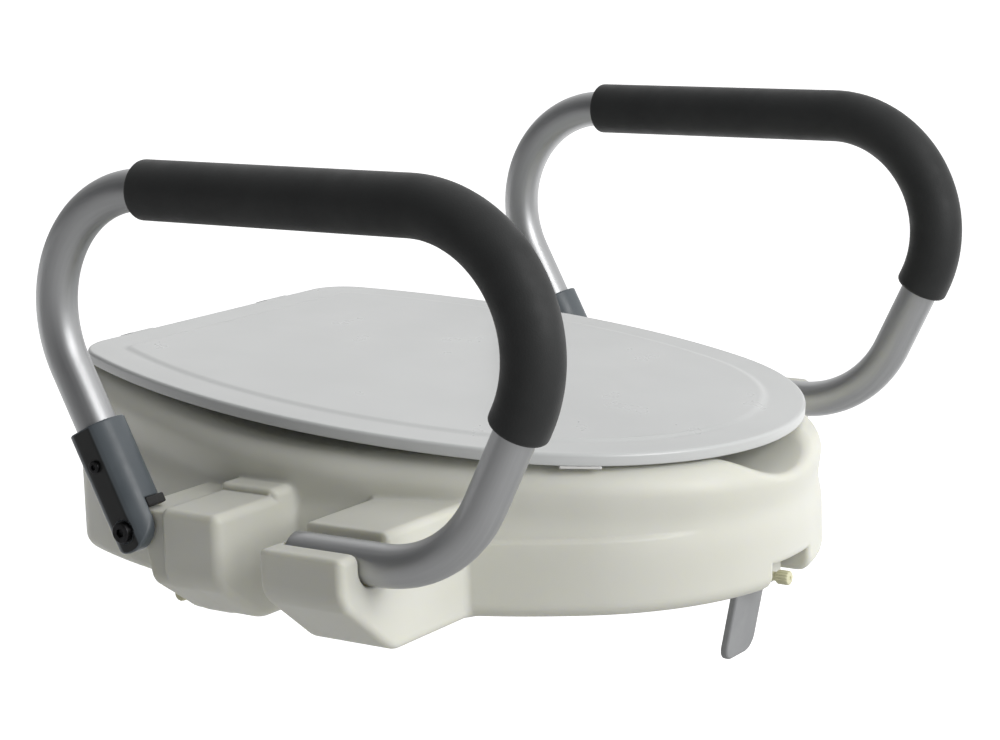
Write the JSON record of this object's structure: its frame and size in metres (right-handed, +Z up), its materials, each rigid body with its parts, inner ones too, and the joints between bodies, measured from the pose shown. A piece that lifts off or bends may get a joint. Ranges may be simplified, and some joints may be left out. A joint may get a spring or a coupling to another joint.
{
  "type": "raised toilet seat",
  "caption": "Moulded raised toilet seat with a hinged lid, two padded armrests that flip up and clamps for the bowl's rim.",
  "frame": {"origin": "centre of the seat on the moulding's underside plane, which sits on the bowl's rim", "axes": "+X to the user's left, -Y to the front of the seat, +Z up"},
  "size_m": [0.576, 0.4791, 0.337],
  "materials": {
    "shell_plastic": "matt blow-moulded polyethylene",
    "lid_plastic": "semi-gloss moulded plastic",
    "hinge_plastic": "moulded plastic",
    "pad_rubber": "ribbed non-slip rubber",
    "bumper_rubber": "soft white bumper",
    "steel": "zinc plated",
    "black_steel": "blackened socket screw",
    "washer_nylon": "plastic washer",
    "tube_aluminium": "satin anodised",
    "foam": "closed-cell foam",
    "black_plastic": "moulded end plug",
    "knuckle_plastic": "glass-filled moulded plastic",
    "stop_rubber": "moulded rubber",
    "bracket_plastic": "moulded plastic",
    "bearing_plastic": "moulded plastic",
    "nylon": "natural nylon",
    "foot_rubber": "moulded rubber"
  },
  "bodies": {
    "seat": {"seat_shell": "shell_plastic", "non_slip_pads": "pad_rubber", "hinge_screws": "steel", "rim_bearing": "hinge_plastic", "hinge_block_left": "hinge_plastic", "hinge_pin_left": "steel", "pivot_bolt_left": "black_steel", "pivot_washer_left": "washer_nylon", "pivot_nut_left": "steel", "side_bearing_left": "bearing_plastic", "hinge_block_right": "hinge_plastic", "hinge_pin_right": "steel", "pivot_bolt_right": "black_steel", "pivot_washer_right": "washer_nylon", "pivot_nut_right": "steel", "side_bearing_right": "bearing_plastic"},
    "lid": {"lid": "lid_plastic", "lid_bumpers": "bumper_rubber"},
    "armrest_left": {"arm_tube_left": "tube_aluminium", "foam_grip_left": "foam", "tube_plug_left": "black_plastic", "knuckle_left": "knuckle_plastic", "knuckle_screw_left": "black_steel", "stop_block_left": "stop_rubber"},
    "side_foot_left": {"side_foot_left": "foot_rubber"},
    "side_screw_left": {"side_screw_left": "nylon"},
    "armrest_right": {"arm_tube_right": "tube_aluminium", "foam_grip_right": "foam", "tube_plug_right": "black_plastic", "knuckle_right": "knuckle_plastic", "knuckle_screw_right": "black_steel", "stop_block_right": "stop_rubber"},
    "side_foot_right": {"side_foot_right": "foot_rubber"},
    "side_screw_right": {"side_screw_right": "nylon"},
    "rim_screw": {"rim_screw": "nylon"},
    "rim_bracket": {"rim_bracket": "bracket_plastic"}
  },
  "joints": [
    {"name": "lid_hinge", "type": "hinge", "parent": "seat", "child": "lid", "pos_m": [0, 0.25381, 0.12771], "axis": [-1, 0, 0], "range_deg": [0, 100]},
    {"name": "armrest_left_hinge", "type": "hinge", "parent": "seat", "child": "armrest_left", "pos_m": [0.258, 0.092, 0.0585], "axis": [-1, 0, 0], "range_deg": [0, 90]},
    {"name": "side_foot_left_slide", "type": "slide", "parent": "seat", "child": "side_foot_left", "axis": [-1, 0, 0], "range_m": [-0.006, 0.0045]},
    {"name": "side_screw_left_turn", "type": "hinge", "parent": "side_foot_left", "child": "side_screw_left", "pos_m": [0.176, 0.112, -0.001], "axis": [-1, 0, 0], "range_deg": [-720, 540]},
    {"name": "armrest_right_hinge", "type": "hinge", "parent": "seat", "child": "armrest_right", "pos_m": [-0.258, 0.092, 0.0585], "axis": [-1, 0, 0], "range_deg": [0, 90]},
    {"name": "side_foot_right_slide", "type": "slide", "parent": "seat", "child": "side_foot_right", "axis": [1, 0, 0], "range_m": [-0.006, 0.0045]},
    {"name": "side_screw_right_turn", "type": "hinge", "parent": "side_foot_right", "child": "side_screw_right", "pos_m": [-0.176, 0.112, -0.001], "axis": [1, 0, 0], "range_deg": [-720, 540]},
    {"name": "rim_screw_turn", "type": "hinge", "parent": "seat", "child": "rim_screw", "pos_m": [0, -0.1875, 0.002], "axis": [0, 1, 0], "range_deg": [-1080, 540]},
    {"name": "rim_bracket_slide", "type": "slide", "parent": "seat", "child": "rim_bracket", "axis": [0, -1, 0], "range_m": [-0.009, 0.0045]}
  ],
  "couplings": [
    {"joint": "side_screw_left_turn", "follows": "side_foot_left_slide", "rad_per_m": 2094.4},
    {"joint": "side_screw_right_turn", "follows": "side_foot_right_slide", "rad_per_m": 2094.4},
    {"joint": "rim_screw_turn", "follows": "rim_bracket_slide", "rad_per_m": 2094.4}
  ]
}
